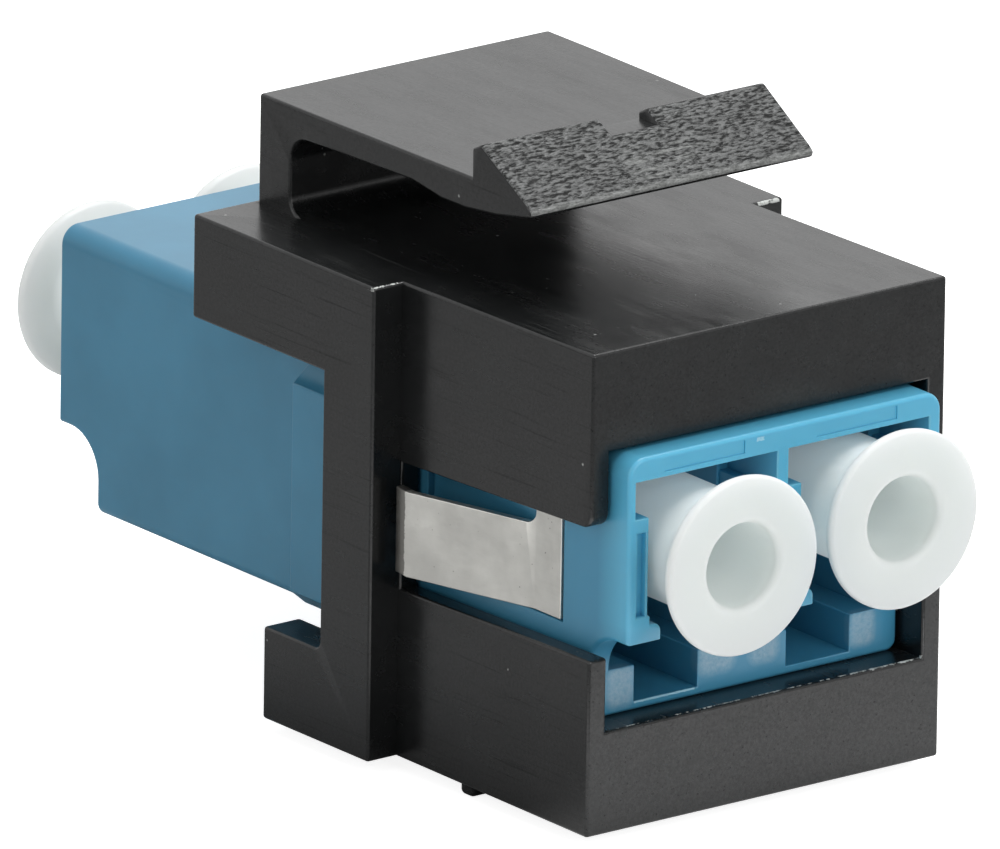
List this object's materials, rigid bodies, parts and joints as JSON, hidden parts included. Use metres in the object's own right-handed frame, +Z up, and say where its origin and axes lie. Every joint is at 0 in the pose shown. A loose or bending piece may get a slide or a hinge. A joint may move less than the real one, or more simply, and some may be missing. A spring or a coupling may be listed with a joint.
{
  "type": "duplex lc fibre adapter in a keystone housing",
  "caption": "Duplex LC fibre adapter snapped into a black keystone housing with a spring latch, a steel side clip and white dust plugs at both ends.",
  "frame": {"origin": "middle of the bounding box on its base: under the middle of the part, level with the lower edge of the catch beneath the sleeve", "axes": "+Z up through the latch side, +Y from the panel side to the cabling side, X across the two ports"},
  "size_m": [0.0168, 0.0352, 0.0216],
  "materials": {
    "keystone_housing": "black ABS moulding, satin, with fine drawn lines and pale burrs on its edges",
    "adapter_front_shell": "blue moulded thermoplastic, satin",
    "adapter_rear_shell": "blue moulded thermoplastic, satin",
    "retaining_clip": "stamped and bent stainless spring strip, dull",
    "alignment_sleeve": "polished white zirconia",
    "dust_plug": "translucent white polyethylene, soft sheen"
  },
  "bodies": {
    "adapter": {"keystone_housing": "keystone_housing", "adapter_front_shell": "adapter_front_shell", "adapter_rear_shell": "adapter_rear_shell", "retaining_clip": "retaining_clip", "alignment_sleeve_left": "alignment_sleeve", "alignment_sleeve_right": "alignment_sleeve"},
    "dust_plug_front_left": {"dust_plug_front_left": "dust_plug"},
    "dust_plug_front_right": {"dust_plug_front_right": "dust_plug"},
    "dust_plug_rear_left": {"dust_plug_rear_left": "dust_plug"},
    "dust_plug_rear_right": {"dust_plug_rear_right": "dust_plug"}
  },
  "joints": [
    {"name": "dust_plug_front_left_slide", "type": "slide", "parent": "adapter", "child": "dust_plug_front_left", "axis": [0, -1, 0], "range_m": [-0.001, 0.0135]},
    {"name": "dust_plug_front_right_slide", "type": "slide", "parent": "adapter", "child": "dust_plug_front_right", "axis": [0, -1, 0], "range_m": [-0.001, 0.0135]},
    {"name": "dust_plug_rear_left_slide", "type": "slide", "parent": "adapter", "child": "dust_plug_rear_left", "axis": [0, 1, 0], "range_m": [-0.0016, 0.0135]},
    {"name": "dust_plug_rear_right_slide", "type": "slide", "parent": "adapter", "child": "dust_plug_rear_right", "axis": [0, 1, 0], "range_m": [-0.0016, 0.0135]}
  ]
}
